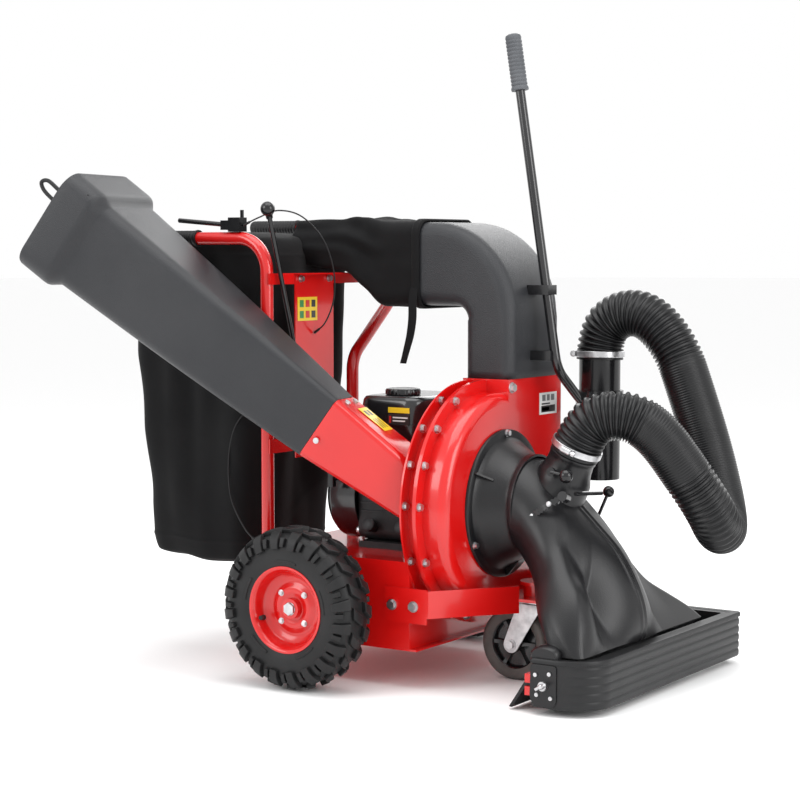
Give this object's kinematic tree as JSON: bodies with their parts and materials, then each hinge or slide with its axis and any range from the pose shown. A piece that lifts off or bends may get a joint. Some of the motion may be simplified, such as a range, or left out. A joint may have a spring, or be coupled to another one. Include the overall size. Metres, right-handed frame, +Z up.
{
  "type": "leaf vacuum mulcher",
  "caption": "Walk-behind petrol leaf vacuum, blower and chipper with ground nozzle, wander hose, side hopper, discharge elbow and hanging bag.",
  "frame": {"origin": "on the ground under the middle of the rear axle", "axes": "+X forward towards the ground nozzle, +Y left, +Z up"},
  "size_m": [1.374, 0.9305, 1.328],
  "materials": {
    "red_paint": "glossy powder coat",
    "black_paint": "glossy",
    "zinc_steel": "zinc plated",
    "shaft_steel": "turned",
    "engine_alloy": "dark cast alloy",
    "gear_alloy": "cast",
    "impeller_steel": "satin",
    "charcoal_plastic": "fine moulded grain",
    "nozzle_plastic": "satin moulded",
    "gloss_plastic": "gloss",
    "hose_plastic": "satin ribbed",
    "skirt_rubber": "satin ribbed",
    "tyre_rubber": "matte",
    "caster_rubber": "matte",
    "grip_rubber": "ribbed",
    "black_rubber": "matte",
    "bag_fabric": "woven polyester"
  },
  "bodies": {
    "machine": {"base_frame": "red_paint", "skid_pan": "red_paint", "axle_bearings": "zinc_steel", "gearbox": "gear_alloy", "caster_yoke": "red_paint", "caster_plate": "zinc_steel", "housing_rear": "red_paint", "housing_front": "red_paint", "engine_block": "engine_alloy", "recoil_cover": "black_paint", "fuel_tank": "black_paint", "air_cleaner": "gloss_plastic", "muffler": "black_paint", "elbow": "charcoal_plastic", "hopper": "charcoal_plastic", "chute_base": "red_paint", "inlet_cone": "nozzle_plastic", "nozzle_duct": "nozzle_plastic", "hose_port": "nozzle_plastic", "skirt": "skirt_rubber", "rear_rails": "red_paint", "rear_flap": "black_rubber", "suction_hose": "hose_plastic", "hose_clamps": "zinc_steel", "wander_tube": "gloss_plastic", "wander_rod": "black_paint", "wander_grip": "grip_rubber", "rod_clips": "black_paint", "handle_near": "red_paint", "handle_far": "red_paint", "cross_plates": "red_paint", "control_panel": "red_paint", "handle_grips": "black_rubber", "control_housing": "gloss_plastic", "throttle_cable": "gloss_plastic", "clutch_cable": "gloss_plastic", "bag": "bag_fabric", "hex_bolts": "zinc_steel", "small_screws": "zinc_steel"},
    "wheel_right": {"tyre_right": "tyre_rubber", "rim_right": "red_paint", "half_shaft_right": "zinc_steel"},
    "wheel_left": {"tyre_left": "tyre_rubber", "rim_left": "red_paint", "half_shaft_left": "zinc_steel"},
    "caster": {"caster_fork": "zinc_steel", "caster_axle": "zinc_steel"},
    "caster_roller": {"caster_wheel": "caster_rubber"},
    "rotor": {"impeller": "impeller_steel", "crankshaft": "shaft_steel", "flywheel": "engine_alloy"},
    "starter": {"starter_grip": "gloss_plastic"},
    "tank_cap": {"fuel_cap": "gloss_plastic"},
    "hose_selector": {"hose_valve": "black_paint", "selector_lever": "gloss_plastic"},
    "nozzle_selector": {"nozzle_gate": "black_paint", "gate_lever": "gloss_plastic"},
    "gear_lever": {"shift_lever": "gloss_plastic"},
    "clutch": {"clutch_lever": "black_paint"},
    "throttle": {"throttle_lever": "gloss_plastic"}
  },
  "joints": [
    {"name": "wheel_right_spin", "type": "hinge", "parent": "machine", "child": "wheel_right", "pos_m": [0, -0.325, 0.165], "axis": [0, 1, 0], "continuous": true},
    {"name": "wheel_left_spin", "type": "hinge", "parent": "machine", "child": "wheel_left", "pos_m": [0, 0.325, 0.165], "axis": [0, 1, 0], "continuous": true},
    {"name": "caster_swivel", "type": "hinge", "parent": "machine", "child": "caster", "pos_m": [0.365, 0, 0.17], "axis": [0, 0, 1], "continuous": true},
    {"name": "caster_roll", "type": "hinge", "parent": "caster", "child": "caster_roller", "pos_m": [0.323, 0, 0.075], "axis": [0, 1, 0], "continuous": true},
    {"name": "rotor_spin", "type": "hinge", "parent": "machine", "child": "rotor", "pos_m": [0, 0, 0.361], "axis": [1, 0, 0], "continuous": true},
    {"name": "starter_pull", "type": "slide", "parent": "machine", "child": "starter", "axis": [0, -1, 0], "range_m": [0, 0.4], "stiffness_N_per_m": 20},
    {"name": "fuel_cap_turn", "type": "hinge", "parent": "machine", "child": "tank_cap", "pos_m": [0.073, -0.05, 0.58], "axis": [0, 0, 1], "range_deg": [0, 90]},
    {"name": "hose_valve_turn", "type": "hinge", "parent": "machine", "child": "hose_selector", "pos_m": [0.436, 0, 0.44], "axis": [0, 1, 0], "range_deg": [0, 75]},
    {"name": "nozzle_gate_turn", "type": "hinge", "parent": "machine", "child": "nozzle_selector", "pos_m": [0.423, 0, 0.294], "axis": [0, 1, 0], "range_deg": [-70, 0]},
    {"name": "gear_lever_turn", "type": "hinge", "parent": "machine", "child": "gear_lever", "pos_m": [-0.145, -0.112, 0.6], "axis": [1, 0, 0], "range_deg": [-12, 12]},
    {"name": "clutch_squeeze", "type": "hinge", "parent": "machine", "child": "clutch", "pos_m": [-0.272, -0.196, 0.9305], "axis": [0, 1, 0], "range_deg": [-6, 0], "stiffness_Nm_per_rad": 1, "springref_deg": 17.19},
    {"name": "throttle_turn", "type": "hinge", "parent": "machine", "child": "throttle", "pos_m": [-0.247, -0.18, 0.9325], "axis": [0, 1, 0], "range_deg": [-45, 5]}
  ]
}
